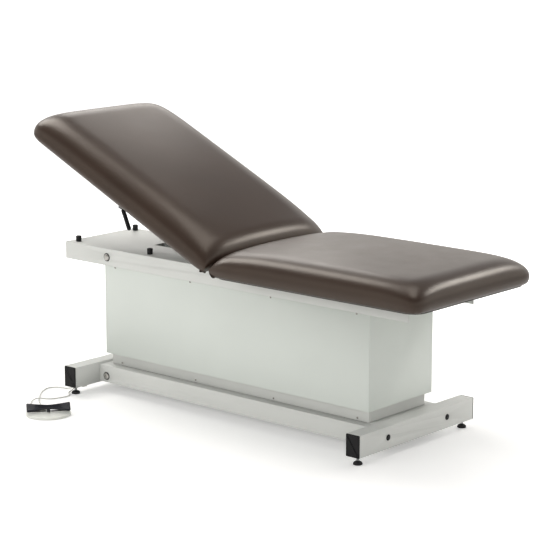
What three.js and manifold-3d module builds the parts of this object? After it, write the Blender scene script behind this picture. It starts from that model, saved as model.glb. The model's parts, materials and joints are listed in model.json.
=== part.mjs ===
// Height-adjustable examination couch with a lifting backrest.
// Millimetres, +X towards the foot end, +Y towards the far long side, +Z up.
// The couch is laid out about the middle of its base, and the whole group is moved at the end so that
// the origin is under the middle of the object, on the floor.
import * as THREE from 'three';
import * as BufferGeometryUtils from 'three/addons/utils/BufferGeometryUtils.js';
import Module from 'manifold-3d';

const wasm = await Module();
wasm.setup();

// ---------------------------------------------------------------- driving dimensions
const GAP = 0.3;                                   // clearance between touching pieces
// base
const LEG = { x0: 667, x1: 725, z0: 31, z1: 111, y: 326, wall: 3 };
const CAP_T = 4;                                   // end cap flange
const RAIL = { y0: 160, y1: 200, z0: 36, z1: 103, wall: 3 };
const PLINTH = { x: 632, y: 160, z0: 103 + GAP, z1: 453, wall: 2 };
const FOOT = { x: 696, y: 300 };
// lift
const PIV_X = -628, PIV_LO = 61, PIV_HI = 527;     // fixed pivots of the scissor
const ARM_L = 1300, ARM_H = 42, ARM_T = 8;
const ARM_A_Y = 118, ARM_B_Y = 104;                // inner faces of the two arm pairs
const ROLLER_R = 20, ROLLER_W = 14;
// top
const TOP = { x0: -857, x1: 818, y: 188, z0: 494, z1: 560, wall: 3 };
const SHROUD = { x: 647, y: 181, z0: 148, z1: 500, wall: 2 };
const SLOT = { x0: -545, x1: -60, y0: -14, y1: 48 };
const BUMPER = { xa: -817, xb: -429, y: 155, r: 11, h: 26 };
const SCREW_X = [-590, -197, 197, 590];
// upholstery
const HINGE_X = 30, HINGE_Z = 582;                 // backrest hinge pin
const BACK_DEG = 24.9;                             // backrest above the flat, as stored
const SEAT = { x0: 37, x1: 965, y: 343, z0: 564, z1: 655, r: 58 };
const BACK = { u0: 7, u1: 1003, y: 343, w0: -18, w1: 73 };
const BOARD_T = 18;
// backrest gas spring: frame pivot and backrest pivot
const GS = { x: -562, z: 530, u: 140, w: -90, y: 17 };
// backrest release lever: pivot and tip in the backrest's own axes (along, across)
const LEVER = { u: 490, w: -30, tu: 420, tw: -91, y: -300 };
// lift actuator: base pivot, and pivot on the first arm pair (along the arm, across the arm)
const ACT = { x: 480, z: 72, s: 520, n: -40 };
// pedal
const PED = { x: -548, y: -578, deg: 50 };
const ROCK = { pin: 18.5, z: 31, slope: 20 };     // pin height, middle and slope of the rocker's blade

const rad = (d) => d * Math.PI / 180;
const ARM_DEG = Math.asin((PIV_HI - PIV_LO) / ARM_L) * 180 / Math.PI;   // 21.0 degrees as stored

// ---------------------------------------------------------------- materials
const mat = (hex, rough, metal = 0) => new THREE.MeshStandardMaterial({ color: hex, roughness: rough, metalness: metal });
const PAINT = mat(0xcdcec8, 0.45);
const SHROUD_PAINT = mat(0xd6dad4, 0.45);
const VINYL = mat(0x5a504b, 0.38);
const BLACK = mat(0x1b1c20, 0.5);
const RUBBER = mat(0x15151a, 0.8);
const STEEL = mat(0xb4b4b2, 0.35, 1);
const ZINC = mat(0x9a9b9a, 0.4, 1);
const WOOD = mat(0xa9865c, 0.7);
const WHITE = mat(0xe4e6e0, 0.4);
const NAVY = mat(0x14161f, 0.45);
const NYLON = mat(0xd8d6cc, 0.5);

// ---------------------------------------------------------------- helpers
const box = (x0, x1, y0, y1, z0, z1) => {
  const g = new THREE.BoxGeometry(x1 - x0, y1 - y0, z1 - z0);
  g.translate((x0 + x1) / 2, (y0 + y1) / 2, (z0 + z1) / 2);
  return g;
};
// cylinder along Y from y0 to y1 about (x, z)
const cylY = (r, y0, y1, x, z, seg = 16) => {
  const g = new THREE.CylinderGeometry(r, r, y1 - y0, seg);
  g.translate(x, (y0 + y1) / 2, z);
  return g;
};
const cylZ = (r, z0, z1, x, y, seg = 16, r2 = r) => {
  const g = new THREE.CylinderGeometry(r2, r, z1 - z0, seg);
  g.rotateX(Math.PI / 2);
  g.translate(x, y, (z0 + z1) / 2);
  return g;
};
const cylX = (r, x0, x1, y, z, seg = 16) => {
  const g = new THREE.CylinderGeometry(r, r, x1 - x0, seg);
  g.rotateZ(Math.PI / 2);
  g.translate((x0 + x1) / 2, y, z);
  return g;
};
// polygon in the X-Z plane, extruded along Y
const prismY = (pts, y0, y1) => {
  const s = new THREE.Shape(pts.map(([x, z]) => new THREE.Vector2(x, z)));
  const g = new THREE.ExtrudeGeometry(s, { depth: y1 - y0, bevelEnabled: false });
  g.rotateX(Math.PI / 2);               // (x, z, d) -> (x, -d, z)
  g.translate(0, y1, 0);
  return g;
};
// outline in the X-Y plane, extruded along Z
const prismZ = (pts, z0, z1) => {
  const s = new THREE.Shape(pts.map(([x, y]) => new THREE.Vector2(x, y)));
  const g = new THREE.ExtrudeGeometry(s, { depth: z1 - z0, bevelEnabled: false });
  g.translate(0, 0, z0);
  return g;
};
const solid = (g) => {
  const c = g.clone();
  c.deleteAttribute('normal');
  c.deleteAttribute('uv');
  const m = BufferGeometryUtils.mergeVertices(c, 1e-4);
  const mm = new wasm.Mesh({ numProp: 3, vertProperties: new Float32Array(m.attributes.position.array), triVerts: new Uint32Array(m.index.array) });
  return new wasm.Manifold(mm);
};
const geometry = (m) => {
  const mm = m.getMesh();
  const g = new THREE.BufferGeometry();
  const n = mm.vertProperties.length / mm.numProp, pos = new Float32Array(n * 3);
  for (let i = 0; i < n; i++) for (let k = 0; k < 3; k++) pos[i * 3 + k] = mm.vertProperties[i * mm.numProp + k];
  g.setAttribute('position', new THREE.BufferAttribute(pos, 3));
  g.setIndex(new THREE.BufferAttribute(new Uint32Array(mm.triVerts), 1));
  g.computeVertexNormals();
  return g;
};
const cut = (a, ...bs) => geometry(bs.reduce((s, b) => s.subtract(solid(b)), solid(a)));
const join = (a, ...bs) => geometry(bs.reduce((s, b) => s.add(solid(b)), solid(a)));
// rounded outline of a rectangle
const roundRect = (x0, x1, y0, y1, r, seg = 5) => {
  const pts = [], c = [[x1 - r, y1 - r, 0], [x0 + r, y1 - r, 90], [x0 + r, y0 + r, 180], [x1 - r, y0 + r, 270]];
  for (const [cx, cy, a0] of c) for (let i = 0; i <= seg; i++) {
    const a = rad(a0 + 90 * i / seg);
    pts.push([cx + r * Math.cos(a), cy + r * Math.sin(a)]);
  }
  return pts;
};
// turned piece: profile of [radius, height] about +Z
const turned = (profile, seg = 16) => {
  const g = new THREE.LatheGeometry(profile.map(([r, h]) => new THREE.Vector2(r, h)), seg);
  g.rotateX(Math.PI / 2);
  return g;
};

const couch = new THREE.Group();
const put = (name, geom, material, group = couch) => {
  const m = new THREE.Mesh(geom, material);
  m.name = name;
  group.add(m);
  return m;
};

// ---------------------------------------------------------------- base
// two cross legs of rectangular tube with plastic end caps and screw-in feet
for (const [end, s] of [['head', -1], ['foot', 1]]) {
  const [xa, xb] = s > 0 ? [LEG.x0, LEG.x1] : [-LEG.x1, -LEG.x0];
  const holes = [];
  for (const y of [-FOOT.y, FOOT.y]) holes.push(cylZ(5.6, LEG.z0 - 2, LEG.z0 + LEG.wall + 2, s * FOOT.x, y, 12));
  if (s > 0) for (const y of [-170, 170]) holes.push(cylX(8.3, LEG.x1 - 5, LEG.x1 + 2, y, 72, 14));
  put(`cross_leg_${end}`, cut(box(xa, xb, -LEG.y, LEG.y, LEG.z0, LEG.z1),
    box(xa + LEG.wall, xb - LEG.wall, -LEG.y - 5, LEG.y + 5, LEG.z0 + LEG.wall, LEG.z1 - LEG.wall), ...holes), PAINT);
  for (const [side, t] of [['front', -1], ['rear', 1]]) {
    // cap: flange outside the tube, hollow spigot inside it
    const ya = t * (LEG.y + GAP), yb = t * (LEG.y + GAP + CAP_T), yc = t * (LEG.y - 13);
    const Y = (a, b) => [Math.min(a, b), Math.max(a, b)];
    const w = LEG.wall + GAP;
    const cap = cut(join(box(xa, xb, ...Y(ya, yb), LEG.z0, LEG.z1),
      box(xa + w, xb - w, ...Y(yc, ya + t * 1), LEG.z0 + w, LEG.z1 - w)),
      box(xa + w + 3, xb - w - 3, ...Y(yc - t * 2, ya), LEG.z0 + w + 3, LEG.z1 - w - 3));
    put(`leg_cap_${end}_${side}`, cap, BLACK);
    // levelling foot: swivel pad, lock nut and threaded stud
    const foot = turned([[0, 0], [16.5, 0], [16.5, 5], [13, 11], [6, 12.5], [6, 24], [9.5, 24.2], [9.5, 30.4], [5, 30.6], [5, 62], [0, 62]], 12);
    foot.translate(s * FOOT.x, t * FOOT.y, 0);
    put(`levelling_foot_${end}_${side}`, foot, RUBBER);
  }
}
// plugs in the outer face of the foot-end leg
for (const [side, y] of [['front', -170], ['rear', 170]]) {
  const g = turned([[0, -9], [7.9, -9], [7.9, GAP], [11, GAP], [11, 1.6], [9.5, 3], [0, 3.4]], 14);
  g.rotateY(Math.PI / 2);
  g.translate(LEG.x1, y, 72);
  put(`leg_plug_${side}`, g, BLACK);
}
// side rails of rectangular tube
for (const [side, t] of [['front', -1], ['rear', 1]]) {
  const y0 = t < 0 ? -RAIL.y1 : RAIL.y0, y1 = y0 + RAIL.y1 - RAIL.y0, x = LEG.x0 - GAP;
  const cuts = [box(-x - 2, x + 2, y0 + 3, y1 - 3, RAIL.z0 + 3, RAIL.z1 - 3), cylY(10.4, y0 - 2, y1 + 2, PIV_X, PIV_LO)];
  if (t > 0) cuts.push(box(-470.5, -429.5, y1 - 5, y1 + 2, 56.5, 83.5));
  put(`base_rail_${side}`, cut(box(-x, x, y0, y1, RAIL.z0, RAIL.z1), ...cuts), PAINT);
}
// mains inlet in the rear rail
put('mains_inlet', cut(join(box(-470, -430, RAIL.y1 - 26, RAIL.y1 + 1, 57, 83), box(-476, -424, RAIL.y1 + GAP, RAIL.y1 + 3, 52, 88)),
  box(-465, -435, RAIL.y1 - 16, RAIL.y1 + 6, 61, 79)), BLACK);
// welded pan between the rails: floor, end walls with ledges, roller tracks and actuator lugs
{
  const y = RAIL.y0 - GAP, x = LEG.x0 - GAP - 0.5, z = RAIL.z0 + GAP;
  const parts = [
    box(-x, -x + 3, -y, y, z, RAIL.z1), box(x - 3, x, -y, y, z, RAIL.z1),
    box(-x, -PLINTH.x + 8, -y, y, RAIL.z1 - 3, RAIL.z1), box(PLINTH.x - 8, x, -y, y, RAIL.z1 - 3, RAIL.z1)];
  for (const t of [-1, 1]) {
    const Y = (a, b) => [Math.min(t * a, t * b), Math.max(t * a, t * b)];
    const zb = PIV_LO - ROLLER_R - 0.5, zt = PIV_LO + ROLLER_R + 0.5;
    parts.push(box(396, 626, ...Y(129.5, 132.5), z + 1, zt + 3));                 // web
    parts.push(box(396, 626, ...Y(114, 131), z + 1, zb));                         // lower flange, welded to the floor
    parts.push(box(396, 626, ...Y(114, 131), zt, zt + 3));                        // upper flange
    const lug = join(prismY([[ACT.x - 22, z + 1], [ACT.x + 22, z + 1], [ACT.x + 13, ACT.z + 8], [ACT.x + 6, ACT.z + 14], [ACT.x - 6, ACT.z + 14], [ACT.x - 13, ACT.z + 8]], ...Y(19, 25)));
    parts.push(cut(lug, cylY(8.3, ...Y(10, 40), ACT.x, ACT.z, 12)));
  }
  put('base_pan', join(box(-x, x, -y, y, z, z + 3), ...parts), PAINT);
}
// inner skirt on the base, open above and below
{
  const p = PLINTH, w = p.wall;
  put('plinth_skirt', cut(box(-p.x, p.x, -p.y, p.y, p.z0, p.z1), box(-p.x + w, p.x - w, -p.y + w, p.y - w, p.z0 - 5, p.z1 + 5)), PAINT);
}
// control box on the pan
put('control_box', prismZ(roundRect(-596, -440, -84, 84, 8, 3), RAIL.z0 + GAP + 3 + GAP, 92), BLACK);

// ---------------------------------------------------------------- pivot shafts with domed ends
const domedShaft = (half, r) => {
  const h = half + GAP;
  const g = turned([[0, -h - 7], [6, -h - 6.2], [11, -h - 3.6], [13, -h], [r, -h], [r, h], [13, h], [11, h + 3.6], [6, h + 6.2], [0, h + 7]], 16);
  g.rotateX(Math.PI / 2);
  return g;
};
{
  const lo = domedShaft(RAIL.y1, 10); lo.translate(PIV_X, 0, PIV_LO); put('lower_pivot_shaft', lo, STEEL);
  const hi = domedShaft(TOP.y, 10); hi.translate(PIV_X, 0, PIV_HI); put('upper_pivot_shaft', hi, STEEL);
}

// ---------------------------------------------------------------- scissor lift
// Each pair is drawn along its own arm, from its fixed pivot at (0, 0) to its roller at (ARM_L, 0), then turned into place.
const armBlank = (y0, y1, pivots) => {
  const r = ARM_H / 2, pts = [], n = 6;
  for (let i = 0; i <= n; i++) { const a = rad(90 + 180 * i / n); pts.push([r * Math.cos(a), r * Math.sin(a)]); }
  for (let i = 0; i <= n; i++) { const a = rad(-90 + 180 * i / n); pts.push([ARM_L + 14 * Math.cos(a), 14 * Math.sin(a)]); }
  return cut(prismY(pts, y0, y1), ...pivots.map(([x, rr]) => cylY(rr, y0 - 2, y1 + 2, x, 0)));
};
const groupA = new THREE.Group(), groupB = new THREE.Group();
groupA.position.set(PIV_X, 0, PIV_LO); groupA.rotation.y = -rad(ARM_DEG);
groupB.position.set(PIV_X, 0, PIV_HI); groupB.rotation.y = rad(ARM_DEG);
couch.add(groupA, groupB);
const MID = ARM_L / 2;
for (const [side, t] of [['front', -1], ['rear', 1]]) {
  const Y = (a, b) => [Math.min(t * a, t * b), Math.max(t * a, t * b)];
  const a0 = ARM_A_Y, a1 = a0 + ARM_T, b0 = ARM_B_Y, b1 = b0 + ARM_T;
  // arm of pair A, with the stub axle of its roller
  put(`scissor_arm_a_${side}`, join(armBlank(...Y(a0, a1), [[0, 10.4], [MID, 10.4]]), cylY(8, ...Y(a1 - 1, a1 + 2 + ROLLER_W), ARM_L, 0)), ZINC, groupA);
  put(`scissor_arm_b_${side}`, join(armBlank(...Y(b0, b1), [[0, 10.4], [MID, 10.4]]), cylY(8, ...Y(b1 - 1, b1 + 2 + ROLLER_W), ARM_L, 0)), ZINC, groupB);
  // rollers
  const roller = (y0, y1) => cut(cylY(ROLLER_R, ...Y(y0, y1), ARM_L, 0), cylY(8.3, ...Y(y0 - 2, y1 + 2), ARM_L, 0));
  put(`upper_roller_${side}`, roller(a1 + 1, a1 + 1 + ROLLER_W), NYLON, groupA);
  put(`lower_roller_${side}`, roller(b1 + 1, b1 + 1 + ROLLER_W), NYLON, groupB);
  // middle pin with a head on each side
  const s = turned([[0, 100.5], [14, 100.5], [14, 103.7], [10, 103.7], [10, 126.3], [14, 126.3], [14, 129.5], [0, 129.5]], 16);
  s.rotateX(t > 0 ? -Math.PI / 2 : Math.PI / 2);
  s.translate(MID, 0, 0);
  put(`scissor_pin_${side}`, s, STEEL, groupA);
}
// cross tubes; the one of pair A carries the lugs that the actuator pushes
{
  const h = ARM_A_Y - GAP;
  const lug = (t) => {
    const y = [Math.min(t * 19, t * 25), Math.max(t * 19, t * 25)];
    return cut(prismY([[ACT.s - 19, 0], [ACT.s - 12, ACT.n - 6], [ACT.s - 6, ACT.n - 13], [ACT.s + 6, ACT.n - 13], [ACT.s + 12, ACT.n - 6], [ACT.s + 19, 0]], ...y), cylY(8.3, y[0] - 3, y[1] + 3, ACT.s, ACT.n, 12));
  };
  put('scissor_tube_a', join(cut(cylY(20, -h, h, ACT.s, 0), cylY(16, -h - 5, h + 5, ACT.s, 0)), lug(-1), lug(1)), ZINC, groupA);
  const k = ARM_B_Y - GAP;
  put('scissor_tube_b', cut(cylY(18, -k, k, 300, 0), cylY(15, -k - 5, k + 5, 300, 0)), ZINC, groupB);
}
// ---------------------------------------------------------------- lift actuator
{
  const t = rad(ARM_DEG);
  const qx = PIV_X + ACT.s * Math.cos(t) - ACT.n * Math.sin(t), qz = PIV_LO + ACT.s * Math.sin(t) + ACT.n * Math.cos(t);
  const len = Math.hypot(qx - ACT.x, qz - ACT.z), ang = Math.atan2(qz - ACT.z, qx - ACT.x);
  const g = new THREE.Group();
  g.position.set(ACT.x, 0, ACT.z); g.rotation.y = -ang;
  couch.add(g);
  // tube with its rear eye and pivot pin, bored from the front
  put('actuator_tube', cut(join(cylX(22, 24, 480, 0, 0, 16), box(-12, 30, -16, 16, -12, 12), cylY(12.5, -17, 17, 0, 0, 16), cylY(8, -26.5, 26.5, 0, 0, 12)),
    cylX(18.3, 300, 485, 0, 0, 16)), ZINC, g);
  // the motor stands on the tube; its local Z points down when the tube leans back, so it is drawn below the axis
  put('actuator_motor', join(prismZ(roundRect(70, 190, -30, 30, 8, 3), -92, -22 - GAP)), BLACK, g);
  // rod with its front eye and pin
  put('actuator_rod', join(cylX(10, 372, len - 10, 0, 0, 12), cylY(14, -17, 17, len, 0, 14), cylY(8, -26.5, 26.5, len, 0, 12)), STEEL, g);
}

// ---------------------------------------------------------------- top frame
{
  const f = TOP, w = f.wall;
  // folded tray, open below: deep flanges on three sides and a short lip at the foot end
  const tray = cut(box(f.x0, f.x1, -f.y, f.y, f.z0, f.z1), box(f.x0 + w, f.x1 - w, -f.y + w, f.y - w, f.z0 - 5, f.z1 - w),
    box(f.x1 - 10, f.x1 + 5, -f.y + 5, f.y - 5, f.z0 - 8, f.z1 - 14));
  const parts = [];
  for (const t of [-1, 1]) {
    const Y = (a, b) => [Math.min(t * a, t * b), Math.max(t * a, t * b)];
    for (const x of SCREW_X) parts.push(box(x - 16, x + 16, ...Y(175.5, 178.5), 480, f.z1 - 1));      // shroud tabs
    parts.push(cut(box(GS.x - 16, GS.x + 16, GS.y + (t > 0 ? 19 : -24), GS.y + (t > 0 ? 24 : -19), GS.z - 14, f.z1 - 1),
      cylY(6.3, GS.y - 40, GS.y + 40, GS.x, GS.z, 12)));
  }
  put('top_frame', cut(join(tray, ...parts), box(SLOT.x0, SLOT.x1, SLOT.y0, SLOT.y1, f.z1 - 20, f.z1 + 5), cylY(10.4, -f.y - 5, f.y + 5, PIV_X, PIV_HI)), PAINT);
}
for (const [side, t] of [['front', -1], ['rear', 1]]) {
  const Y = (a, b) => [Math.min(t * a, t * b), Math.max(t * a, t * b)];
  const zt = PIV_HI + ROLLER_R + 0.5, zb = PIV_HI - ROLLER_R - 0.5, top = TOP.z1 - TOP.wall - GAP;
  put(`upper_track_${side}`, join(box(396, 626, ...Y(143.5, 146.5), zb - 3, top), box(396, 626, ...Y(128, 145), zt, zt + 3), box(396, 626, ...Y(128, 145), zb - 3, zb)), PAINT);
}
// outer shroud that hangs from the frame
{
  const p = SHROUD, w = p.wall;
  put('outer_shroud', cut(box(-p.x, p.x, -p.y, p.y, p.z0, p.z1), box(-p.x + w, p.x - w, -p.y + w, p.y - w, p.z0 - 5, p.z1 + 5)), SHROUD_PAINT);
}
// rubber bumpers that the lowered backrest rests on
for (const [n, x, y] of [['head_front', BUMPER.xa, -1], ['head_rear', BUMPER.xa, 1], ['mid_front', BUMPER.xb, -1], ['mid_rear', BUMPER.xb, 1]]) {
  const g = turned([[0, 0], [BUMPER.r, 0], [BUMPER.r, 19], [BUMPER.r - 2, 22], [0, 22]], 14);
  g.translate(x, y * BUMPER.y, TOP.z1 + GAP);
  put(`bumper_${n}`, g, RUBBER);
}

// ---------------------------------------------------------------- seat
const board = (x0, x1, y, z0, z1, r = 50) => prismZ(roundRect(x0, x1, -y, y, r, 4), z0, z1);
const BEVEL = Math.tan(rad(36));
// cushion: bevelled towards the hinge so that it clears its neighbour, eased at its other edges, rounded in plan
const cushion = (x0, x1, y, z0, z1, r, pivotZ) => {
  const R = 26, e = 16;
  const side = prismY([[x0, z0], [x1 - 8, z0], [x1, z0 + 10], [x1, z1 - R], [x1 - R * 0.3, z1 - R * 0.3], [x1 - R, z1], [x0 + (z1 - pivotZ) * BEVEL, z1], [x0, pivotZ]], -y, y);
  const plan = prismZ(roundRect(x0, x1, -y, y, r, 5), z0 - 5, z1 + 5);
  const across = new THREE.ExtrudeGeometry(new THREE.Shape([[-y + 12, z0], [y - 12, z0], [y, z0 + 12], [y, z1 - e], [y - e, z1], [-y + e, z1], [-y, z1 - e], [-y, z0 + 12]].map(([a, b]) => new THREE.Vector2(a, b))), { depth: x1 - x0 + 20, bevelEnabled: false });
  across.rotateX(Math.PI / 2);
  across.rotateZ(Math.PI / 2);
  across.translate(x0 - 10, 0, 0);
  return geometry(solid(side).intersect(solid(plan)).intersect(solid(across)));
};
{
  const s = SEAT, bz = TOP.z1 + GAP;
  put('seat_board', board(s.x0 + 9, s.x1 - 14, s.y - 22, bz, bz + BOARD_T), WOOD);
  const c = cushion(s.x0, s.x1, s.y, s.z0, s.z1, s.r, HINGE_Z);
  put('seat_cushion', cut(c, board(s.x0 + 9 - GAP, s.x1 - 14 + GAP, s.y - 22 + GAP, bz - 5, bz + BOARD_T + GAP)), VINYL);
}
// hinge bracket on the frame, with three lugs, and its pin
const LUG_Y = [-170, 0, 170], KNUCKLE_Y = [-80, 80];
{
  const z0 = TOP.z1 + GAP;
  const lugs = LUG_Y.map((y) => join(box(HINGE_X - 6, HINGE_X + 6, y - 3, y + 3, z0 + 1, HINGE_Z), cylY(6, y - 3, y + 3, HINGE_X, HINGE_Z, 12)));
  put('hinge_bracket', cut(join(box(16, HINGE_X + 6, -176, 176, z0, z0 + 3), ...lugs), cylY(4.8, -200, 200, HINGE_X, HINGE_Z, 12)), ZINC);
  put('hinge_pin', join(cylY(4.5, -176, 177, HINGE_X, HINGE_Z, 12), cylY(6.2, 177 - 0.5, 180, HINGE_X, HINGE_Z, 12)), STEEL);
}

// ---------------------------------------------------------------- backrest
// Drawn flat, pointing from the hinge pin at (0, 0) along -X, then lifted about the pin.
const back = new THREE.Group();
back.position.set(HINGE_X, 0, HINGE_Z);
back.rotation.y = rad(BACK_DEG);
couch.add(back);
{
  const b = BACK;
  const flip = (g) => geometry(solid(g).rotate([0, 0, 180]));
  const bz = b.w0;
  put('backrest_board', flip(board(b.u0 + 9, b.u1 - 14, b.y - 22, bz, bz + BOARD_T)), WOOD, back);
  const leaf = { u0: 20, u1: 80, y: 120, t: 2.5 };
  const pocket = board(b.u0 + 9 - GAP, b.u1 - 14 + GAP, b.y - 22 + GAP, bz - 5, bz + BOARD_T + GAP);
  const c = cut(cushion(b.u0, b.u1, b.y, b.w0, b.w1, SEAT.r, 0), pocket,
    box(leaf.u0 - GAP, leaf.u1 + GAP, -leaf.y - GAP, leaf.y + GAP, -2, GAP + leaf.t + GAP),
    ...KNUCKLE_Y.map((y) => box(b.u0 - 2, leaf.u0 + 2, y - 10.5, y + 10.5, -0.2, GAP + leaf.t + GAP)));
  put('backrest_cushion', flip(c), VINYL, back);
  // hinge leaf on top of the board, with two knuckles on the pin
  const knuckles = KNUCKLE_Y.flatMap((y) => [cylY(6, y - 10, y + 10, 0, 0, 12), box(0, leaf.u0 + 2, y - 10, y + 10, GAP, GAP + leaf.t)]);
  put('hinge_leaf', flip(cut(join(box(leaf.u0, leaf.u1, -leaf.y, leaf.y, GAP, GAP + leaf.t), ...knuckles), cylY(4.8, -200, 200, 0, 0, 12))), ZINC, back);
  // bracket that takes the gas spring, under the board
  const z = bz - GAP, gy = GS.y;
  const lug = (t) => {
    const y = [Math.min(t * 7.3, t * 11.3), Math.max(t * 7.3, t * 11.3)];
    return prismY([[-GS.u - 26, z - 1], [-GS.u - 9, GS.w - 9], [-GS.u - 3, GS.w - 12], [-GS.u + 3, GS.w - 12], [-GS.u + 9, GS.w - 9], [-GS.u + 26, z - 1]], gy + y[0], gy + y[1]);
  };
  put('backrest_bracket', cut(join(box(-GS.u - 70, -GS.u + 70, gy - 26, gy + 26, z - 3, z), lug(-1), lug(1)), cylY(6.3, gy - 30, gy + 30, -GS.u, GS.w, 12)), PAINT, back);
  // release lever and its bracket near the front long edge
  const L = LEVER, du = -(L.tu - L.u), dw = L.tw - L.w, len = Math.hypot(du, dw), ang = Math.atan2(dw, du);
  put('lever_bracket', cut(join(box(-L.u - 18, -L.u + 18, L.y - 11, L.y + 11, z - 2.5, z), box(-L.u - 8, -L.u + 8, L.y - 11, L.y - 8.5, L.w - 7, z - 1), box(-L.u - 8, -L.u + 8, L.y + 8.5, L.y + 11, L.w - 7, z - 1)),
    cylY(3.3, L.y - 20, L.y + 20, -L.u, L.w, 10)), ZINC, back);
  const grip = turned([[0, -4], [5, -4], [5, 12], [8, 16], [8, len - 6], [5.6, len - 1.6], [0, len]], 14);
  grip.rotateY(Math.PI / 2);            // +Z -> +X
  const lever = join(grip, cylY(3, -12.5, 12.5, 0, 0, 10), cylY(6, -8, 8, 0, 0, 12));
  lever.rotateY(-ang);
  lever.translate(-L.u, L.y, L.w);
  put('release_lever', lever, BLACK, back);
}
// ---------------------------------------------------------------- backrest gas spring
{
  const p = rad(BACK_DEG);
  const qx = HINGE_X - GS.u * Math.cos(p) + GS.w * Math.sin(p), qz = HINGE_Z + GS.u * Math.sin(p) + GS.w * Math.cos(p);
  const len = Math.hypot(qx - GS.x, qz - GS.z), ang = Math.atan2(qz - GS.z, qx - GS.x);
  const g = new THREE.Group();
  g.position.set(GS.x, GS.y, GS.z); g.rotation.y = -ang;
  couch.add(g);
  put('gas_cylinder', cut(join(cylX(14, 20, 330, 0, 0, 16), box(-8, 24, -7, 7, -8, 8), cylY(8.8, -8, 8, 0, 0, 14), cylY(6, -24.5, 24.5, 0, 0, 12)), cylX(12.6, 150, 335, 0, 0, 16)), BLACK, g);
  put('gas_rod', join(cylX(5, 260, len - 6, 0, 0, 10), cylY(8.5, -6.5, 6.5, len, 0, 14), cylY(6, -12.5, 12.5, len, 0, 12)), STEEL, g);
}

// ---------------------------------------------------------------- foot control
{
  const g = new THREE.Group();
  g.position.set(PED.x, PED.y, 0); g.rotation.z = rad(PED.deg);
  couch.add(g);
  // outline: local x along the bar, local -y towards the user
  const outline = (k) => {
    const pts = [[82 - k, 32 - k], [-82 + k, 32 - k]];
    for (let i = 0; i <= 14; i++) { const a = Math.PI + Math.PI * i / 14; pts.push([(83 - k) * Math.cos(a), (72 - k) * Math.sin(a)]); }
    return pts;
  };
  // a post in the middle of the plate carries the pivot pin of the rocker
  put('pedal_housing', cut(join(prismZ(outline(0), 0, 9), prismZ(outline(4), 8, 11), prismZ([[-44, 30], [0, 30], [-4, 41], [-40, 41]], 2, 12.5), box(-6.5, 6.5, -2, 4, 8, 23.3)), cylY(3.3, -20, 20, 0, ROCK.pin, 10)), WHITE, g);
  const bow = [[-81, -24], [-40, -15.5], [-10, -9.5], [10, -9.5], [40, -15.5], [81, -24], [81, 24], [40, 15.5], [10, 9.5], [-10, 9.5], [-40, 15.5], [-81, 24]];
  const blade = prismZ(bow, -5, 5);        // bow-tie blade, sloped down towards the user
  blade.rotateX(rad(ROCK.slope));
  blade.translate(0, 0, ROCK.z);
  put('pedal_rocker', join(blade, box(-6, 6, -7, -3.5, 14, 26), box(-6, 6, 5.5, 8.5, 14, 31), cylY(3, -6.5, 8, 0, ROCK.pin, 10)), NAVY, g);
}
// gland for the two control leads, under the head-end leg beside its front foot
put('lead_gland', box(-712, -684, -272, -250, LEG.z0 - GAP - 10, LEG.z0 - GAP), WHITE);

// the two leads: thin tubes that lie on the floor between the gland and the foot control
const LEAD_R = 2.25;
const tube = (pts, steps) => {
  const c = new THREE.CatmullRomCurve3(pts.map((p) => new THREE.Vector3(...p)), false, 'centripetal');
  const sh = new THREE.Shape();
  for (let i = 0; i < 8; i++) { const a = Math.PI / 8 + Math.PI * 2 * i / 8; sh[i ? 'lineTo' : 'moveTo'](LEAD_R * Math.cos(a), LEAD_R * Math.sin(a)); }
  sh.closePath();
  return new THREE.ExtrudeGeometry(sh, { steps, extrudePath: c, bevelEnabled: false });
};
const PEDAL_AT = (x, y, z) => {
  const a = rad(PED.deg);
  return [PED.x + x * Math.cos(a) - y * Math.sin(a), PED.y + x * Math.sin(a) + y * Math.cos(a), z];
};
const LEAD_UP = [
  [-712.5, -257, 25.7], [-719, -257, 25.7], [-727, -258, 23.4], [-736, -261, 17], [-751, -269, 7], [-768, -278, 2.7], [-790, -284, 2.7], [-812, -293, 2.7], [-827, -318, 2.7],
  [-819, -351, 2.7], [-794, -390, 2.7], [-756, -433, 2.7], [-717, -471, 2.7], [-671, -505, 2.7], [-640, -523, 3.1], PEDAL_AT(-13, 62, 5), PEDAL_AT(-13, 50, 7.4), PEDAL_AT(-13, 41.5, 7.4)];
const LEAD_DOWN = [
  [-712.5, -266, 25.7], [-718, -266, 25.6], [-724, -269, 22], [-728, -277, 13], [-729, -292, 4], [-724, -309, 2.7], [-710, -324, 2.7], [-692, -336, 2.7], [-684, -354, 2.7], [-687, -384, 2.7],
  [-699, -418, 2.6], [-712, -439, 4.4], [-724, -455, 7.4], [-733, -470, 7.4], [-735, -487, 4.4], [-722, -507, 2.5], [-696, -532, 2.7], [-668, -556, 2.6], PEDAL_AT(-31, 62, 5), PEDAL_AT(-31, 50, 7.4), PEDAL_AT(-31, 41.5, 7.4)];
put('pedal_lead_up', tube(LEAD_UP, 38), WHITE);
put('pedal_lead_down', tube(LEAD_DOWN, 38), WHITE);

// origin under the middle of the object, on the floor
couch.position.set(-40.933, 156.783, 0);

export default couch;
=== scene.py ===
# Examination couch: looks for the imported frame. Metres, row frame.
import json
import math
import bpy
import bmesh
import numpy as np
from mathutils import Matrix, Vector

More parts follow.
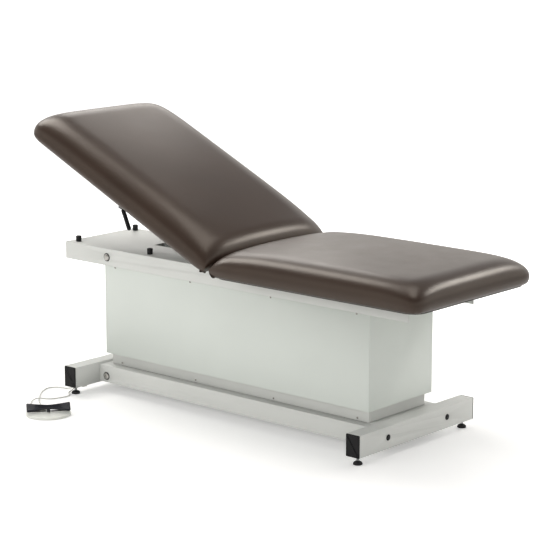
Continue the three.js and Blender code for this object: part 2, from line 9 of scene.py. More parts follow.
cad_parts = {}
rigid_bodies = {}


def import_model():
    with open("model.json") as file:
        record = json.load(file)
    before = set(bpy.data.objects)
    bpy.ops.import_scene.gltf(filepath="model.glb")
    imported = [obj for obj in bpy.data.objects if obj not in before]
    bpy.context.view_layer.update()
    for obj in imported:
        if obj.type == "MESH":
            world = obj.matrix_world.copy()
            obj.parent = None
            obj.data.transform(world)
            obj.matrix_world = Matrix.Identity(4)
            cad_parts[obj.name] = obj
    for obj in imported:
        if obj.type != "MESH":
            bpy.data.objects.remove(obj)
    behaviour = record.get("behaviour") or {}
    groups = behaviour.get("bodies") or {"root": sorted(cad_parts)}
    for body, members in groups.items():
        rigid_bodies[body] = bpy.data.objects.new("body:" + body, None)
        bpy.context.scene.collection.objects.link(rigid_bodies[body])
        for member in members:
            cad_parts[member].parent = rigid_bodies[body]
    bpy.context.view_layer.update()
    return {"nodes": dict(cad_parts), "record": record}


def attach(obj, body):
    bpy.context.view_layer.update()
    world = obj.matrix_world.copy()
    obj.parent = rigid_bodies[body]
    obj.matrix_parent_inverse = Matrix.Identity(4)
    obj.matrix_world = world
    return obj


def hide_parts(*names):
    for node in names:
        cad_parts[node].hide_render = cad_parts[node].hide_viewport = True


for o in list(bpy.data.objects):
    bpy.data.objects.remove(o)
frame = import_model()
N = frame["nodes"]
scene = bpy.context.scene
WORLD, LEFT_W, TOP_W, BACK_W, HEAD_W, FRONT_W = 1.44, 64, 44, 42, 15, 76       # studio light strengths

OX, OY = -40.933, 156.783            # couch axes to row frame, mm


def C(x, y, z):
    return Vector(((x + OX) / 1000, (y + OY) / 1000, z / 1000))


# ------------------------------------------------------------------ camera
cam = bpy.data.cameras.new("camera")
cam_o = bpy.data.objects.new("camera", cam)
scene.collection.objects.link(cam_o)
yaw, pitch = math.radians(41.23), math.radians(-11.96)
look = Vector((-math.sin(yaw) * math.cos(pitch), math.cos(yaw) * math.cos(pitch), math.sin(pitch)))
cam_o.location = C(4774.7, -5402.1, 2032.2)
cam_o.rotation_euler = look.to_track_quat("-Z", "Y").to_euler()
cam.sensor_width = 36
cam.lens = 1999 / 550 * 36
cam.shift_x, cam.shift_y = 4.0 / 550, 2.6 / 550
cam.clip_end = 100
scene.camera = cam_o


# ------------------------------------------------------------------ materials
def lin(rgb):
    return tuple((c / 255 / 12.92 if c / 255 <= 0.04045 else ((c / 255 + 0.055) / 1.055) ** 2.4) for c in rgb)


def material(name, rgb, rough, metal=0.0, var=(4.0, 0.04), rough_var=(30.0, 0.05), bump=(400.0, 0.1, 0.0004), stretch=(1, 1, 1), coat=0.0, spec=0.5, second=None, cells=None, tint=(1.0, 1.0, 1.0)):
    """Procedural surface: colour drifts over var, roughness over rough_var, and bump gives the skin of the material."""
    m = bpy.data.materials.new(name)
    m.use_nodes = True
    nt = m.node_tree
    nt.nodes.clear()
    out = nt.nodes.new("ShaderNodeOutputMaterial")
    b = nt.nodes.new("ShaderNodeBsdfPrincipled")
    nt.links.new(b.outputs["BSDF"], out.inputs["Surface"])
    b.inputs["Metallic"].default_value = metal
    b.inputs["Specular IOR Level"].default_value = spec
    b.inputs["Specular Tint"].default_value = (*tint, 1)
    b.inputs["Coat Weight"].default_value = coat
    b.inputs["Coat Roughness"].default_value = 0.25
    tc = nt.nodes.new("ShaderNodeTexCoord")
    mp = nt.nodes.new("ShaderNodeMapping")
    mp.inputs["Scale"].default_value = stretch
    nt.links.new(tc.outputs["Object"], mp.inputs["Vector"])

    def noise(scale, detail=3.0):
        n = nt.nodes.new("ShaderNodeTexNoise")
        n.inputs["Scale"].default_value = scale
        n.inputs["Detail"].default_value = detail
        nt.links.new(mp.outputs["Vector"], n.inputs["Vector"])
        return n.outputs["Fac"]

    c = lin(rgb)
    d = lin(second) if second else tuple(x * (1 - 2 * var[1]) for x in c)
    ramp = nt.nodes.new("ShaderNodeValToRGB")
    ramp.color_ramp.elements[0].position = 0.3
    ramp.color_ramp.elements[1].position = 0.7
    ramp.color_ramp.elements[0].color = (*d, 1)
    ramp.color_ramp.elements[1].color = (*(min(1, x * (1 + var[1])) for x in c), 1) if not second else (*c, 1)
    nt.links.new(noise(var[0]), ramp.inputs["Fac"])
    nt.links.new(ramp.outputs["Color"], b.inputs["Base Color"])
    mr = nt.nodes.new("ShaderNodeMapRange")
    mr.inputs["To Min"].default_value = max(0.03, rough - rough_var[1])
    mr.inputs["To Max"].default_value = min(1.0, rough + rough_var[1])
    nt.links.new(noise(rough_var[0]), mr.inputs["Value"])
    nt.links.new(mr.outputs["Result"], b.inputs["Roughness"])
    bp = nt.nodes.new("ShaderNodeBump")
    bp.inputs["Strength"].default_value = bump[1]
    bp.inputs["Distance"].default_value = bump[2]
    if cells:
        v = nt.nodes.new("ShaderNodeTexVoronoi")
        v.feature = "SMOOTH_F1"
        v.inputs["Scale"].default_value = cells
        nt.links.new(mp.outputs["Vector"], v.inputs["Vector"])
        add = nt.nodes.new("ShaderNodeMath")
        add.operation = "ADD"
        nt.links.new(v.outputs["Distance"], add.inputs[0])
        nt.links.new(noise(bump[0]), add.inputs[1])
        nt.links.new(add.outputs["Value"], bp.inputs["Height"])
    else:
        nt.links.new(noise(bump[0]), bp.inputs["Height"])
    nt.links.new(bp.outputs["Normal"], b.inputs["Normal"])
    return m


PAINT = material("frame_powder_coat", (213, 215, 212), 0.42, 0.0, (3.0, 0.02), (25.0, 0.05), (420.0, 0.10, 0.0004), spec=0.45)
SHROUD = material("shroud_powder_coat", (216, 222, 217), 0.40, 0.0, (2.0, 0.02), (18.0, 0.05), (420.0, 0.10, 0.0004), spec=0.45)
VINYL = material("upholstery_vinyl", (52, 38, 30), 0.33, 0.0, (5.0, 0.05), (14.0, 0.04), (1500.0, 0.20, 0.00035), spec=0.56, coat=0.06, cells=900.0, tint=(1.0, 0.91, 0.81))
BLACK = material("black_moulded_plastic", (19, 19, 21), 0.50, 0.0, (40.0, 0.10), (60.0, 0.08), (900.0, 0.15, 0.0003), spec=0.28)
RUBBER = material("black_rubber", (24, 24, 26), 0.68, 0.0, (50.0, 0.12), (60.0, 0.10), (1200.0, 0.25, 0.0004))
STEEL = material("turned_steel", (196, 194, 190), 0.26, 1.0, (60.0, 0.05), (120.0, 0.08), (260.0, 0.08, 0.0002), stretch=(1, 9, 1))
ZINC = material("zinc_plate", (176, 178, 180), 0.36, 1.0, (70.0, 0.08), (90.0, 0.10), (500.0, 0.12, 0.0003))
DECK = material("dark_stained_deck", (44, 38, 34), 0.72, 0.0, (8.0, 0.18), (20.0, 0.08), (60.0, 0.3, 0.0006), stretch=(1, 14, 14))
WHITE = material("white_moulded_plastic", (226, 228, 222), 0.38, 0.0, (20.0, 0.02), (40.0, 0.06), (800.0, 0.10, 0.0003))
NAVY = material("ribbed_dark_plastic", (20, 22, 34), 0.46, 0.0, (60.0, 0.10), (60.0, 0.08), (900.0, 0.15, 0.0003))
NYLON = material("nylon", (214, 210, 198), 0.48, 0.0, (60.0, 0.03), (60.0, 0.06), (700.0, 0.12, 0.0003))
GASBLACK = material("black_enamel", (26, 26, 28), 0.3, 0.0, (30.0, 0.08), (40.0, 0.06), (500.0, 0.08, 0.0003))
LEAD = material("lead_sheath", (212, 213, 208), 0.45, 0.0, (60.0, 0.03), (80.0, 0.06), (900.0, 0.12, 0.0002))

SLOTS = {"frame_paint": PAINT, "shroud_paint": SHROUD, "upholstery": VINYL, "black_plastic": BLACK, "black_rubber": RUBBER, "bright_steel": STEEL, "zinc_plated_steel": ZINC,
         "board": DECK, "white_plastic": WHITE, "dark_pedal_plastic": NAVY, "nylon": NYLON, "black_painted_steel": GASBLACK}
slot_of = {s["node"]: s["material_slot"] for s in frame["record"]["subparts"]}


def dress(o, bevel=0.0009):
    """A carried-over node: its material, soft shading and eased edges."""
    m = SLOTS[slot_of[o.name]]
    if not o.material_slots:
        o.data.materials.append(m)
    for s in o.material_slots:
        s.material = m
    me = o.data
    me.normals_split_custom_set([(0, 0, 0)] * len(me.loops))
    me.polygons.foreach_set("use_smooth", [True] * len(me.polygons))
    w = o.modifiers.new("weld", "WELD")
    w.merge_threshold = 0.00002
    b = o.modifiers.new("eased_edges", "BEVEL")
    b.width = bevel
    b.segments = 2
    b.limit_method = "ANGLE"
    b.angle_limit = math.radians(35)
    b.harden_normals = True


# ------------------------------------------------------------------ mesh helpers
def new_object(name, verts, faces, mat, angle=35, body=None, slot=None):
    me = bpy.data.meshes.new(name)
    me.from_pydata([tuple(v) for v in verts], [], faces)
    me.update()
    bm = bmesh.new()
    bm.from_mesh(me)
    bmesh.ops.remove_doubles(bm, verts=bm.verts, dist=1e-6)
    bmesh.ops.recalc_face_normals(bm, faces=bm.faces)
    bm.to_mesh(me)
    bm.free()
    me.polygons.foreach_set("use_smooth", [True] * len(me.polygons))
    me.set_sharp_from_angle(angle=math.radians(angle))
    me.materials.append(mat)
    o = bpy.data.objects.new(name, me)
    scene.collection.objects.link(o)
    if body:
        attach(o, body)
    return o


def lathe(prof, M, seg=40):
    """Turned form: prof is (radius, height) in mm about local Z; M places it (mm, couch axes)."""
    verts, faces = [], []
    rings = []
    for r, h in prof:
        if r < 1e-6:
            verts.append(M @ Vector((0, 0, h)))
            rings.append([len(verts) - 1])
        else:
            ring = []
            for i in range(seg):
                a = 2 * math.pi * i / seg
                verts.append(M @ Vector((r * math.cos(a), r * math.sin(a), h)))
                ring.append(len(verts) - 1)
            rings.append(ring)
    for A, B in zip(rings, rings[1:]):
        if len(A) == 1 and len(B) == 1:
            continue
        for i in range(seg):
            j = (i + 1) % seg
            if len(A) == 1:
                faces.append((A[0], B[i], B[j]))
            elif len(B) == 1:
                faces.append((A[i], A[j], B[0]))
            else:
                faces.append((A[i], A[j], B[j], B[i]))
    return verts, faces


def extrude(outline, levels, M):
    """Closed outline [(x, y)] lofted through levels [(inset, z)]; ends are filled."""
    verts, faces, rings = [], [], []
    n = len(outline)
    P = np.array(outline, float)
    d = np.roll(P, -1, 0) - np.roll(P, 1, 0)
    nrm = np.stack([d[:, 1], -d[:, 0]], 1)
    nrm /= np.maximum(np.linalg.norm(nrm, axis=1, keepdims=True), 1e-9)
    area = 0.5 * np.sum(P[:, 0] * np.roll(P[:, 1], -1) - np.roll(P[:, 0], -1) * P[:, 1])
    if area < 0:
        nrm = -nrm
    for inset, z in levels:
        Q = P - nrm * inset
        base = len(verts)
        verts += [M @ Vector((x, y, z)) for x, y in Q]
        rings.append(list(range(base, base + n)))
    for A, B in zip(rings, rings[1:]):
        for i in range(n):
            j = (i + 1) % n
            faces.append((A[i], A[j], B[j], B[i]))
    faces.append(tuple(reversed(rings[0])))
    faces.append(tuple(rings[-1]))
    return verts, faces


def merge(*parts):
    V, F = [], []
    for v, f in parts:
        k = len(V)
        V += list(v)
        F += [tuple(i + k for i in t) for t in f]
    return V, F


def mm(parts):
    """mm in couch axes to the row frame."""
    v, f = parts
    return [C(*p) for p in v], f


def rounded(x0, x1, y0, y1, r, seg=6):
    pts = []
    for cx, cy, a0 in ((x1 - r, y1 - r, 0), (x0 + r, y1 - r, 90), (x0 + r, y0 + r, 180), (x1 - r, y0 + r, 270)):
        for i in range(seg + 1):
            a = math.radians(a0 + 90 * i / seg)
            pts.append((cx + r * math.cos(a), cy + r * math.sin(a)))
    return pts


T = lambda x, y, z: Matrix.Translation((x, y, z))
RX = lambda d: Matrix.Rotation(math.radians(d), 4, "X")
RY = lambda d: Matrix.Rotation(math.radians(d), 4, "Y")
RZ = lambda d: Matrix.Rotation(math.radians(d), 4, "Z")

# ------------------------------------------------------------------ control leads
PED = (-548, -578, 50)


def pedal_at(x, y, z):
    a = math.radians(PED[2])
    return (PED[0] + x * math.cos(a) - y * math.sin(a), PED[1] + x * math.sin(a) + y * math.cos(a), z)


LEAD_UP = [
    (-712.5, -257, 25.7), (-719, -257, 25.7), (-727, -258, 23.4), (-736, -261, 17), (-751, -269, 7), (-768, -278, 2.7), (-790, -284, 2.7), (-812, -293, 2.7), (-827, -318, 2.7),
    (-819, -351, 2.7), (-794, -390, 2.7), (-756, -433, 2.7), (-717, -471, 2.7), (-671, -505, 2.7), (-640, -523, 3.1), pedal_at(-13, 62, 5), pedal_at(-13, 50, 7.4), pedal_at(-13, 41.5, 7.4)]
LEAD_DOWN = [
    (-712.5, -266, 25.7), (-718, -266, 25.6), (-724, -269, 22), (-728, -277, 13), (-729, -292, 4), (-724, -309, 2.7), (-710, -324, 2.7), (-692, -336, 2.7), (-684, -354, 2.7), (-687, -384, 2.7),
    (-699, -418, 2.6), (-712, -439, 4.4), (-724, -455, 7.4), (-733, -470, 7.4), (-735, -487, 4.4), (-722, -507, 2.5), (-696, -532, 2.7), (-668, -556, 2.6), pedal_at(-31, 62, 5), pedal_at(-31, 50, 7.4), pedal_at(-31, 41.5, 7.4)]


def lead(name, pts, node):
    cu = bpy.data.curves.new(name, "CURVE")
    cu.dimensions = "3D"
    cu.bevel_depth = 0.00225
    cu.bevel_resolution = 4
    cu.resolution_u = 10
    cu.use_fill_caps = True
    sp = cu.splines.new("BEZIER")
    sp.bezier_points.add(len(pts) - 1)
    W = [C(*p) for p in pts]
    for i, p in enumerate(W):
        bp = sp.bezier_points[i]
        bp.co = p
        a, b = W[max(i - 1, 0)], W[min(i + 1, len(W) - 1)]
        t = (b - a).normalized()
        l0 = (p - W[i - 1]).length / 3 if i else 0.001
        l1 = (W[i + 1] - p).length / 3 if i < len(W) - 1 else 0.001
        bp.handle_left_type = bp.handle_right_type = "FREE"
        bp.handle_left = p - t * l0
        bp.handle_right = p + t * l1
    o = bpy.data.objects.new(name, cu)
    scene.collection.objects.link(o)
    cu.materials.append(LEAD)
    for i in range(len(W) - 1):
        a, b = sp.bezier_points[i], sp.bezier_points[i + 1]
    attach(o, "base")
    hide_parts(node)
    return o


lead("control_lead_up", LEAD_UP, "pedal_lead_up")
lead("control_lead_down", LEAD_DOWN, "pedal_lead_down")

# ------------------------------------------------------------------ cushions
HX, HZ, BETA = 30.0, 582.0, math.radians(24.9)
W0, WM, W1 = -18.0, 9.0, 72.0          # underside, widest line and top of both cushions, above the hinge pin


def seat_point(u, v, w):
    return C(HX + 7 + u, v, HZ + w)


def back_point(u, v, w):
    u = u + 7
    return C(HX - u * math.cos(BETA) + w * math.sin(BETA), v, HZ + u * math.sin(BETA) + w * math.cos(BETA))


def cushion(name, L, W, place, RH=98.0, RO=92.0, RV=112.0, crown=10.0, pull=0.20, outer=2.4, tall=0.0):
    """Crowned foam pad under a taut vinyl cover: rolled edges, thin drawn-down corners at the hinge, fuller rounded ones outside."""
    def stations(total, ra, rb, n, m):
        out = [(ra - ra * math.sin(math.radians(90 * (1 - i / n))), -math.sin(math.radians(90 * (1 - i / n)))) for i in range(n)]
        out += [(ra + (total - ra - rb) * i / m, 0.0) for i in range(m + 1)]
        out += [(total - rb + rb * math.sin(math.radians(90 * i / n)), math.sin(math.radians(90 * i / n))) for i in range(1, n + 1)]
        return out
    us = stations(L, RH, RO, 16, 30)
    vs = stations(W, RV, RV, 16, 22)
    E = lambda s: max(0.0, 1 - abs(s) ** 2.3) ** (1 / 2.4)
    verts, idx = [], {}
    for i, (u0, S) in enumerate(us):
        kap = 0.22
        for j, (v0, Q) in enumerate(vs):
            u, v = u0, v0 - W / 2
            if S > 0:
                # outer end: roll and plan corner share one family of rounded curves
                m = max(S, abs(Q))
                k = m / (S ** outer + abs(Q) ** outer) ** (1 / outer)
                u = L - RO + RO * S * k
                if Q:
                    v = math.copysign(W / 2 - RV + RV * abs(Q) * k, Q)
            else:
                if S < 0:
                    u = RH - RH * abs(S) * math.sqrt(1 - kap * Q * Q / 2)
                if Q:
                    v = math.copysign(W / 2 - RV + RV * abs(Q) * math.sqrt(1 - kap * S * S / 2), Q)
            du, dv = u, W / 2 - abs(v)
            f = E(S) * E(Q) if S <= 0 else E(max(S, abs(Q)))
            f *= 1 - pull * math.exp(-((du / 140) ** 2 + (dv / 150) ** 2))
            f *= 1 - 0.26 * math.exp(-(((L - du) / 92) ** 2 + (dv / 92) ** 2))
            h = WM + (W1 + tall - WM) * f + crown * (1 - (2 * u / L - 1) ** 2) * (1 - (2 * v / W) ** 2)
            # the cover is drawn into fine gathers that fan out from the hinge corners
            rr = math.hypot(du, dv)
            ang = math.atan2(dv, max(du, 1e-6))
            g = math.exp(-((rr - 34) / 34) ** 2) * E(S) ** 0.5 * E(Q) ** 0.5
            h += 0.9 * g * math.cos(9 * ang) * (1 if rr > 6 else 0)
            idx[i, j] = len(verts)
            verts.append(Vector((u, v, h)))
    nu, nv = len(us), len(vs)
    faces = [(idx[i, j], idx[i + 1, j], idx[i + 1, j + 1], idx[i, j + 1]) for i in range(nu - 1) for j in range(nv - 1)]
    rim = [idx[i, 0] for i in range(nu)] + [idx[nu - 1, j] for j in range(1, nv)] + [idx[i, nv - 1] for i in range(nu - 2, -1, -1)] + [idx[0, j] for j in range(nv - 2, 0, -1)]
    P = np.array([verts[k] for k in rim])
    d = np.roll(P, -1, 0) - np.roll(P, 1, 0)
    nrm = np.stack([d[:, 1], -d[:, 0]], 1)
    nrm /= np.maximum(np.linalg.norm(nrm, axis=1, keepdims=True), 1e-9)
    s = np.concatenate([[0], np.cumsum(np.linalg.norm(np.diff(P, axis=0), axis=1))])
    corner = np.array([max(math.exp(-(math.hypot(L - p[0], W / 2 - abs(p[1])) / 55) ** 2), 0) for p in P])
    prev = rim
    rings = [(20 * (1 - math.cos(math.radians(a))), WM - (WM - W0) * math.sin(math.radians(a))) for a in (12, 25, 38, 52, 66, 80, 90)] + [(20.6, W0 + 1), (20.8, W0 + 15.2)]
    for k, (inset, z) in enumerate(rings):
        # vertical pleats where the cover is folded round the outer corners
        amp = 1.1 * corner * np.sin(s / 5.2) * min(1, (k + 1) / 5) if k < 7 else 0 * corner
        ring = []
        for q in range(len(rim)):
            x = P[q, 0] - nrm[q, 0] * (inset + amp[q])
            y = P[q, 1] - nrm[q, 1] * (inset + amp[q])
            ring.append(len(verts))
            verts.append(Vector((x, y, z)))
        for q in range(len(rim)):
            r = (q + 1) % len(rim)
            faces.append((prev[q], prev[r], ring[r], ring[q]))
        prev = ring
    faces.append(tuple(prev))
    return new_object(name, [place(*v) for v in verts], faces, VINYL, angle=80)


seat = cushion("seat_pad", 931.0, 686.0, seat_point, RO=96.0, RV=102.0, outer=4.0, tall=8.0)
back = cushion("backrest_pad", 1012.0, 688.0, back_point, RH=86.0, RO=104.0, RV=128.0, outer=3.4, tall=20.0)
for o, node, body in ((seat, "seat_cushion", "top"), (back, "backrest_cushion", "backrest")):
    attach(o, body)
    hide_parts(node)

# ------------------------------------------------------------------ turned and moulded details
for end, s in (("head", -1), ("foot", 1)):
    for side, t in (("front", -1), ("rear", 1)):
        M = T(s * 696, t * 300, 0)
        body = "levelling_foot_%s_%s" % (end, side)
        pad = lathe([(0, 0), (15.4, 0), (16.5, 1.2), (16.5, 4.6), (15.6, 7), (13, 9.8), (10, 11.4), (7, 12.2), (6.2, 12.6), (6.2, 14), (0, 14)], M)
        o = new_object("foot_pad_%s_%s" % (end, side), *mm(pad), RUBBER, body=body, slot="black_rubber")
        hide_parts(body)
        prof = [(0, 13.5), (4.6, 13.5)]
        h = 13.8
        while h < 24:
            prof += [(4.3, h), (5, h + 0.5), (5, h + 0.8), (4.3, h + 1.3)]
            h += 1.5
        prof += [(5, 24), (5, 62), (0, 62)]
        nut = extrude([(9.5 * math.cos(math.radians(60 * i)), 9.5 * math.sin(math.radians(60 * i))) for i in range(6)], [(0.8, 24.2), (0, 24.9), (0, 29.7), (0.8, 30.4)], M)
        new_object("foot_stud_%s_%s" % (end, side), *mm(merge(lathe(prof, M, 24), nut)), ZINC, body=body, slot="zinc_plated_steel")
        # end caps of the legs: thin eased flange with a faint moulded rim
        xa, xb = (667, 725) if s > 0 else (-725, -667)
        y0 = t * 326.3
        Mc = T(0, y0, 0) @ (RX(90) if t < 0 else RX(90) @ Matrix.Scale(-1, 4, (0, 0, 1)))
        cap = extrude(rounded(xa, xb, 31, 111, 3), [(0.0, 0), (0, 2.6), (0.5, 3.5), (1.4, 4), (4.5, 4), (4.9, 3.4)], Mc)
        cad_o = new_object("end_cap_%s_%s" % (end, side), *mm(cap), BLACK, body="base", slot="black_plastic")
        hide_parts("leg_cap_%s_%s" % (end, side))
        spig = extrude(rounded(xa + 3.3, xb - 3.3, 34.3, 107.7, 2), [(0, 0), (0, -12.5), (0.8, -13.2)], Mc)
        new_object("end_cap_spigot_%s_%s" % (end, side), *mm(spig), BLACK, body="base", slot="black_plastic")

for n, x, y in (("head_front", -817, -1), ("head_rear", -817, 1), ("mid_front", -429, -1), ("mid_rear", -429, 1)):
    M = T(x, y * 155, 560.3)
    b = lathe([(3.4, 17), (3.4, 22), (9.2, 22), (10.4, 21.4), (11, 20.2), (10.6, 2), (11, 0.9), (11, 0), (0, 0)], M)
    scr = lathe([(0, 16.4), (1.6, 16.4), (1.6, 18.6), (3.0, 18.6), (3.3, 18), (3.3, 16.2)], M, 20)
    o = new_object("stop_bumper_%s" % n, *mm(merge(b, scr)), RUBBER, body="top", slot="black_rubber")
    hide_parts("bumper_%s" % n)

for side, y in (("front", -170), ("rear", 170)):
    M = T(725, y, 72) @ RY(90)
    o = new_object("hole_plug_%s" % side, *mm(lathe([(0, 3.2), (6, 3.1), (9, 2.5), (10.6, 1.4), (11, 0.5), (11, 0.3), (7.9, 0.3), (7.9, -9), (0, -9)], M)), BLACK, body="base", slot="black_plastic")
    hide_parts("leg_plug_%s" % side)


def domed(name, half, x, z, body, node):
    h = half + 0.3
    prof = [(0, h + 7)]
    for a in range(10, 91, 10):
        prof.append((13 * math.sin(math.radians(a)), h + 1.2 + 5.8 * math.cos(math.radians(a))))
    prof += [(13, h), (10, h)]
    full = prof + [(r, -q) for r, q in reversed(prof)]
    o = new_object(name, *mm(lathe(full, T(x, 0, z) @ RX(90), 40)), STEEL, body=body, slot="bright_steel")
    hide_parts(node)


def washer(name, half, x, z, body):
    ring = []
    for t in (-1, 1):
        M = T(x, t * (half + 0.1), z) @ RX(90 * -t)
        ring.append(lathe([(10.6, 0), (15.4, 0), (15.8, 0.4), (15.8, 0.9), (15.2, 1.3), (13.4, 1.4), (13.2, 1.1), (10.6, 1.1), (10.6, 0)], M, 40))
    return new_object(name, *mm(merge(*ring)), BLACK, body=body, slot="black_plastic")


domed("lift_shaft_lower", 200, -628, 61, "base", "lower_pivot_shaft")
domed("lift_shaft_upper", 188, -628, 527, "top", "upper_pivot_shaft")
washer("shaft_washers_lower", 200, -628, 61, "base")
washer("shaft_washers_upper", 188, -628, 527, "top")


def screw(name, M, r, body, mat=STEEL, slot="bright_steel"):
    """Button-head screw with a hexagon socket."""
    head = lathe([(r * 0.42, 0.5), (r * 0.46, 2.1), (r * 0.8, 1.8), (r, 0.9), (r, 0.05), (0, 0.05)], M, 24)
    sock = lathe([(0, 0.5), (r * 0.42, 0.5)], M, 6)
    return new_object(name, *mm(merge(head, sock)), mat, body=body, slot=slot)


for t, side in ((-1, "front"), (1, "rear")):
    turn = RX(90) if t < 0 else RX(-90)
    for k, x in enumerate((-590, -197, 197, 590)):
        screw("shroud_screw_%s_%d" % (side, k), T(x, t * 181, 489.5) @ turn, 4.2, "top")
    for k, x in enumerate((-581, -193, 193, 581)):
        screw("skirt_screw_%s_%d" % (side, k), T(x, t * 160, 113) @ turn, 4.0, "base")

# screws that hold the deck of each cushion to the frame and the hinge
for k, (x, y) in enumerate(((120, -150), (120, 150), (430, -150), (430, 150), (740, -150), (740, 150))):
    screw("deck_screw_%d" % k, T(x, y, 557) @ RX(180), 6.0, "top", ZINC, "zinc_plated_steel")

# ------------------------------------------------------------------ release lever
L = dict(u=490, w=-30, tu=420, tw=-91, y=-300)
px = HX - L["u"] * math.cos(BETA) + L["w"] * math.sin(BETA)
pz = HZ + L["u"] * math.sin(BETA) + L["w"] * math.cos(BETA)
tx = HX - L["tu"] * math.cos(BETA) + L["tw"] * math.sin(BETA)
tz = HZ + L["tu"] * math.sin(BETA) + L["tw"] * math.cos(BETA)
ln = math.hypot(tx - px, tz - pz)
M = T(px, L["y"], pz) @ RY(math.degrees(math.atan2(tx - px, tz - pz)))
prof = [(0, -5), (4, -4.4), (5, -3), (5, 11), (6.4, 12), (7.7, 14), (8, 17)]
h = 20
while h < ln - 18:
    prof += [(8, h), (7.55, h + 0.7), (7.55, h + 1.3), (8, h + 2)]
    h += 6
prof += [(8, ln - 9), (7.6, ln - 6), (6.4, ln - 3.2), (4.2, ln - 1.0), (2, ln - 0.15), (0, ln)]
o = new_object("release_handle", *mm(merge(lathe(prof, M, 32), lathe([(0, -12.5), (2.6, -12.5), (3, -12), (3, 12), (2.6, 12.5), (0, 12.5)], M @ RX(90), 20))), BLACK, angle=50, body="release_lever", slot="black_plastic")
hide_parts("release_lever")

# ------------------------------------------------------------------ foot control
MP = T(PED[0], PED[1], 0) @ RZ(PED[2])
out = []
for x0, x1, y0 in ((78, -78, 32),):
    out += [(82, 28), (81, 31), (78, 32), (-78, 32), (-81, 31), (-82, 28)]
for i in range(49):
    a = math.pi + math.pi * i / 48
    out.append((83 * math.cos(a), 72 * math.sin(a)))
plate = extrude(out, [(1.6, 0), (0.6, 0.5), (0, 1.6), (0, 4.5), (0.5, 6.2), (1.6, 7.6), (3.4, 8.7), (6, 9.5), (10, 10.2), (16, 10.7), (22, 11)], MP)
post = extrude(rounded(-6.5, 6.5, -2, 4, 1.5, 3), [(0, 8), (0, 22.4), (0.8, 23.2)], MP)
relief = extrude([(-43.5, 30), (-0.5, 30), (-3.5, 40.4), (-6, 41), (-38, 41), (-40.5, 40.4)], [(0.6, 2), (0, 2.6), (0, 10.5), (0.8, 12), (2.2, 12.5)], MP)
o = new_object("foot_control_plate", *mm(merge(plate, relief, post)), WHITE, body="base", slot="white_plastic")
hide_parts("pedal_housing")
# bow-tie rocker, ribbed along its length
NXR, NYR = 54, 36
verts, faces = [], []
MR = MP @ T(0, 0, 31) @ RX(20)
wid = lambda x: 9.5 + 14.5 * (abs(x) / 81) ** 1.15
for side in (0, 1):
    for i in range(NXR + 1):
        x = -81 + 162 * i / NXR
        edge = min(1.0, (81 - abs(x)) / 2.2)
        for j in range(NYR + 1):
            q = -1 + 2 * j / NYR
            y = q * wid(x)
            e2 = min(1.0, (1 - abs(q)) * wid(x) / 1.8)
            rnd = math.sqrt(max(0.0, 1 - (1 - edge) ** 2)) * math.sqrt(max(0.0, 1 - (1 - e2) ** 2))
            if side == 0:
                rib = 1.15 * (0.5 + 0.5 * math.cos(2 * math.pi * j / 4)) * min(1.0, edge * e2 * 1.5)
                z = 4.1 * rnd + rib
            else:
                z = -5 * rnd
            verts.append(MR @ Vector((x, y, z)))
S2 = (NXR + 1) * (NYR + 1)
g = lambda s, i, j: s * S2 + i * (NYR + 1) + j
for i in range(NXR):
    for j in range(NYR):
        faces.append((g(0, i, j), g(0, i + 1, j), g(0, i + 1, j + 1), g(0, i, j + 1)))
        faces.append((g(1, i, j), g(1, i, j + 1), g(1, i + 1, j + 1), g(1, i + 1, j)))
pinr = lathe([(0, -8), (3, -8), (3, 6.5), (0, 6.5)], MP @ T(0, 0, 18.5) @ RX(90), 20)
lugs = [extrude(rounded(-6, 6, y0, y1, 1, 3), [(0.6, 14), (0, 14.8), (0, z1)], MP) for y0, y1, z1 in ((-7, -3.5, 26), (5.5, 8.5, 31))]
o = new_object("foot_control_rocker", *mm(merge((verts, faces), pinr, *lugs)), NAVY, angle=60, body="pedal_rocker", slot="dark_pedal_plastic")
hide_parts("pedal_rocker")
gl = extrude(rounded(-712, -684, -272, -250, 3), [(0.8, 20.7), (0, 21.6), (0, 30.0), (0.5, 30.7)], Matrix.Identity(4))
o = new_object("lead_clamp", *mm(gl), WHITE, body="base", slot="white_plastic")
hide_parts("lead_gland")

# ------------------------------------------------------------------ carried-over nodes
replaced = {"seat_cushion", "backrest_cushion", "lower_pivot_shaft", "upper_pivot_shaft", "release_lever", "pedal_housing", "pedal_rocker", "lead_gland", "pedal_lead_up", "pedal_lead_down", "leg_plug_front", "leg_plug_rear"}
for name, o in N.items():
    if name in replaced or name.startswith(("leg_cap", "levelling_foot", "bumper_")):
        continue
    dress(o, 0.0012 if slot_of[name] in ("frame_paint", "shroud_paint") else 0.0006)

# ------------------------------------------------------------------ studio
fl = bpy.data.meshes.new("studio_floor")
fl.from_pydata([(-30, -30, 0), (30, -30, 0), (30, 30, 0), (-30, 30, 0)], [], [(0, 1, 2, 3)])
floor = bpy.data.objects.new("studio_floor", fl)
scene.collection.objects.link(floor)
fm = material("studio_floor_white", (250, 250, 250), 0.7, 0.0, (2.0, 0.002), (3.0, 0.02), (40.0, 0.02, 0.0002), spec=0.2)
fl.materials.append(fm)
fb = fm.node_tree.nodes["Principled BSDF"]
fb.inputs["Emission Color"].default_value = (1, 1, 1, 1)
ft = fm.node_tree
f_tc = ft.nodes.new("ShaderNodeTexCoord")
f_len = ft.nodes.new("ShaderNodeVectorMath")
f_len.operation = "LENGTH"
f_map = ft.nodes.new("ShaderNodeMapRange")
f_map.interpolation_type = "SMOOTHSTEP"
for key, val in (("From Min", 0.9), ("From Max", 3.6), ("To Min", 0.26), ("To Max", 0.75)):
    f_map.inputs[key].default_value = val
ft.links.new(f_tc.outputs["Object"], f_len.inputs[0])
ft.links.new(f_len.outputs["Value"], f_map.inputs["Value"])
f_lp = ft.nodes.new("ShaderNodeLightPath")
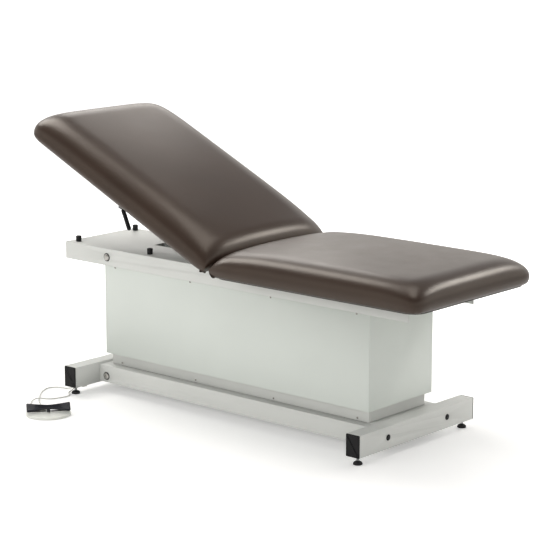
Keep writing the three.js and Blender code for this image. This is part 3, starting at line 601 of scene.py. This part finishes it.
f_cam = ft.nodes.new("ShaderNodeMath")
f_cam.operation = "MULTIPLY"
ft.links.new(f_map.outputs["Result"], f_cam.inputs[0])
ft.links.new(f_lp.outputs["Is Camera Ray"], f_cam.inputs[1])
ft.links.new(f_cam.outputs["Value"], fb.inputs["Emission Strength"])
floor.location.z = -0.0002

world = bpy.data.worlds.new("studio_world")
scene.world = world
world.use_nodes = True
wt = world.node_tree
wt.nodes.clear()
w_out = wt.nodes.new("ShaderNodeOutputWorld")
w_tc = wt.nodes.new("ShaderNodeTexCoord")
w_sep = wt.nodes.new("ShaderNodeSeparateXYZ")
w_ramp = wt.nodes.new("ShaderNodeValToRGB")
w_ramp.color_ramp.interpolation = "EASE"
els = w_ramp.color_ramp.elements
els[0].position, els[0].color = 0.0, (0.70, 0.685, 0.655, 1)
els[1].position, els[1].color = 0.28, (0.80, 0.775, 0.73, 1)
for q, c in ((0.42, 0.60), (0.60, 0.20), (1.0, 0.26)):
    e = els.new(q)
    e.color = (c, c, c, 1)
w_soft = wt.nodes.new("ShaderNodeBackground")
w_soft.inputs["Strength"].default_value = WORLD
w_plain = wt.nodes.new("ShaderNodeBackground")
w_plain.inputs["Color"].default_value = (1, 1, 1, 1)
w_plain.inputs["Strength"].default_value = 1.0
w_lp = wt.nodes.new("ShaderNodeLightPath")
w_mix = wt.nodes.new("ShaderNodeMixShader")
wt.links.new(w_tc.outputs["Generated"], w_sep.inputs["Vector"])
wt.links.new(w_sep.outputs["Z"], w_ramp.inputs["Fac"])
wt.links.new(w_ramp.outputs["Color"], w_soft.inputs["Color"])
w_front = wt.nodes.new("ShaderNodeMapRange")          # the studio is dimmer in front of the couch than behind it
for key, val in (("From Min", -0.8), ("From Max", 0.5), ("To Min", 0.78 * WORLD), ("To Max", WORLD)):
    w_front.inputs[key].default_value = val
wt.links.new(w_sep.outputs["Y"], w_front.inputs["Value"])
wt.links.new(w_front.outputs["Result"], w_soft.inputs["Strength"])
wt.links.new(w_lp.outputs["Is Camera Ray"], w_mix.inputs["Fac"])
wt.links.new(w_soft.outputs["Background"], w_mix.inputs[1])
wt.links.new(w_plain.outputs["Background"], w_mix.inputs[2])
wt.links.new(w_mix.outputs["Shader"], w_out.inputs["Surface"])


def area(name, loc, target, size, power, size_y=None, col=(1.0, 0.97, 0.93)):
    l = bpy.data.lights.new(name, "AREA")
    l.energy = power
    l.color = col
    l.shape = "RECTANGLE"
    l.size = size
    l.size_y = size_y or size
    o = bpy.data.objects.new(name, l)
    scene.collection.objects.link(o)
    o.location = loc
    o.rotation_euler = (Vector(target) - Vector(loc)).to_track_quat("-Z", "Y").to_euler()
    return o


area("left_softbox", (-2.6, 0.3, 3.5), (0, 0, 0.6), 1.5, LEFT_W, 2.6)
area("head_softbox", (-2.7, 2.6, 2.7), (-0.4, 0.1, 0.8), 1.5, HEAD_W, 1.3)
area("top_softbox", (0.4, 0.4, 4.4), (0, 0.1, 0.5), 3.0, TOP_W, 2.0)
area("back_softbox", (1.7, 3.1, 2.9), (0.8, 0.0, 0.6), 1.5, BACK_W, 0.7)
area("front_softbox", (-1.6, -4.6, 2.2), (-0.1, -0.2, 0.3), 3.4, FRONT_W, 1.6, (1.0, 0.985, 0.96)).visible_glossy = False
scene.view_settings.view_transform = "Standard"
scene.view_settings.exposure = 0.0
